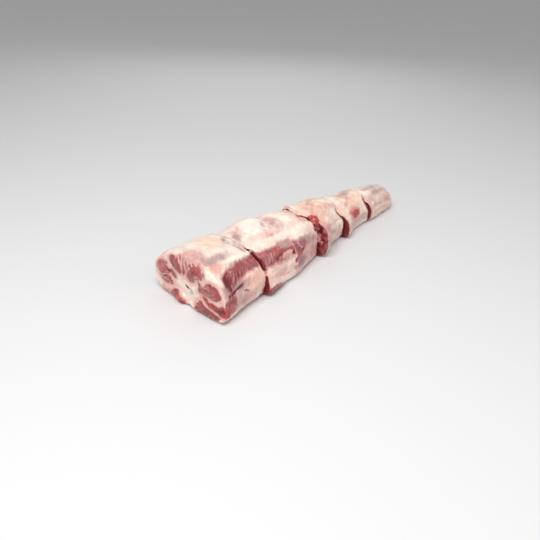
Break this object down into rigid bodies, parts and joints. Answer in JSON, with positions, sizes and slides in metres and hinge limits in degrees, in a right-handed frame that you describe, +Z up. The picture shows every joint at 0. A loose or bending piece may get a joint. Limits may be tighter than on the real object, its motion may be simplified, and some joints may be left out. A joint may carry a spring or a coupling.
{
  "type": "veal tail",
  "caption": "Raw veal tail cut across its joints into slices that still lie end to end, tapering from a broad cut face to a narrow tip, with a vertebra through each slice.",
  "frame": {"origin": "on the surface that the tail lies on, under the middle of its overall length and width", "axes": "+X along the tail from its thick cut end to its tip, +Y to the tail's left, +Z up from the surface it lies on"},
  "size_m": [0.3325, 0.095, 0.0509],
  "materials": {
    "raw_veal": "moist raw muscle under pale fat and thin membrane, glossy",
    "raw_bone": "moist sawn bone, cream with pink marrow"
  },
  "bodies": {
    "root": {"slice_1": "raw_veal", "slice_2": "raw_veal", "slice_3": "raw_veal", "slice_4": "raw_veal", "slice_5": "raw_veal", "slice_6": "raw_veal", "vertebra_1": "raw_bone", "vertebra_2": "raw_bone", "vertebra_3": "raw_bone", "vertebra_4": "raw_bone", "vertebra_5": "raw_bone", "vertebra_6": "raw_bone"}
  },
  "joints": []
}
